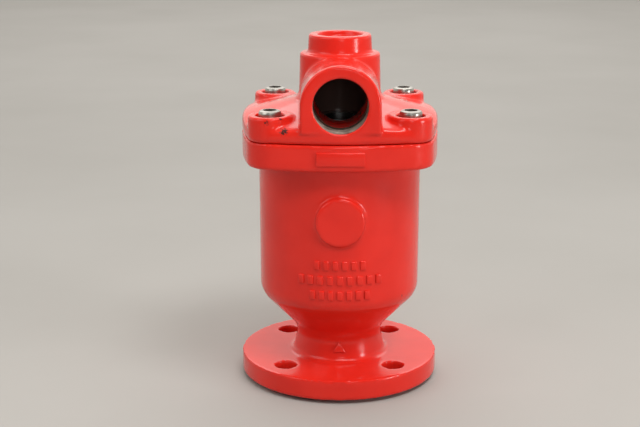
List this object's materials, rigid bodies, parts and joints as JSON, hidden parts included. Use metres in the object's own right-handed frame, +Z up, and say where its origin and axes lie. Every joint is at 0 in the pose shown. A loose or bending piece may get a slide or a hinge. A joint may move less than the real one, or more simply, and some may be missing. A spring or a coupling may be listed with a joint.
{
  "type": "float-operated air valve",
  "caption": "Flanged cast iron air valve for a water pipe: a float, lever and disc in a closed chamber, with a threaded outlet port on the cover.",
  "frame": {"origin": "centre of the inlet flange's sealing face, at the bottom of the valve", "axes": "+Z up along the inlet and the chamber, -Y out of the outlet port, +X to the right seen from the port"},
  "size_m": [0.165, 0.165, 0.289],
  "materials": {
    "painted_iron": "glossy epoxy coat over a cast surface, orange-red",
    "screw_steel": "zinc plated, slightly dull",
    "stainless_steel": "turned stainless steel",
    "float_steel": "pressed and polished stainless steel",
    "brass": "turned brass",
    "seal_rubber": "matte black rubber",
    "gasket_fibre": "fibre sheet"
  },
  "bodies": {
    "housing": {"body": "painted_iron", "cover": "painted_iron", "cover_o_ring": "seal_rubber", "cover_screws": "screw_steel", "cover_washers": "screw_steel", "seat_ring": "stainless_steel", "seat_gasket": "gasket_fibre", "cage_pillars": "stainless_steel", "cage_nuts": "stainless_steel", "disc_stop_ring": "stainless_steel", "baffle_plate": "stainless_steel", "baffle_screws": "stainless_steel"},
    "disc": {"valve_disc": "stainless_steel", "disc_seal": "seal_rubber", "seal_retainer": "stainless_steel", "nozzle": "brass", "lever_pin": "stainless_steel", "lever_pin_clips": "stainless_steel"},
    "lever": {"lever": "stainless_steel", "nozzle_pad": "seal_rubber", "float_pin": "stainless_steel", "float_pin_clips": "stainless_steel"},
    "float": {"float_fork": "stainless_steel", "float_lock_nut": "stainless_steel", "float_shell_upper": "float_steel", "float_shell_lower": "float_steel"}
  },
  "joints": [
    {"name": "disc_lift", "type": "slide", "parent": "housing", "child": "disc", "axis": [0, 0, 1], "range_m": [0, 0.0114]},
    {"name": "lever_swing", "type": "hinge", "parent": "disc", "child": "lever", "pos_m": [-0.0155, 0, 0.174], "axis": [0, -1, 0], "range_deg": [0, 6]},
    {"name": "float_hang", "type": "hinge", "parent": "lever", "child": "float", "pos_m": [0, 0, 0.174], "axis": [0, -1, 0], "range_deg": [-6, 0]}
  ],
  "couplings": [
    {"joint": "float_hang", "follows": "lever_swing", "ratio": -1}
  ]
}
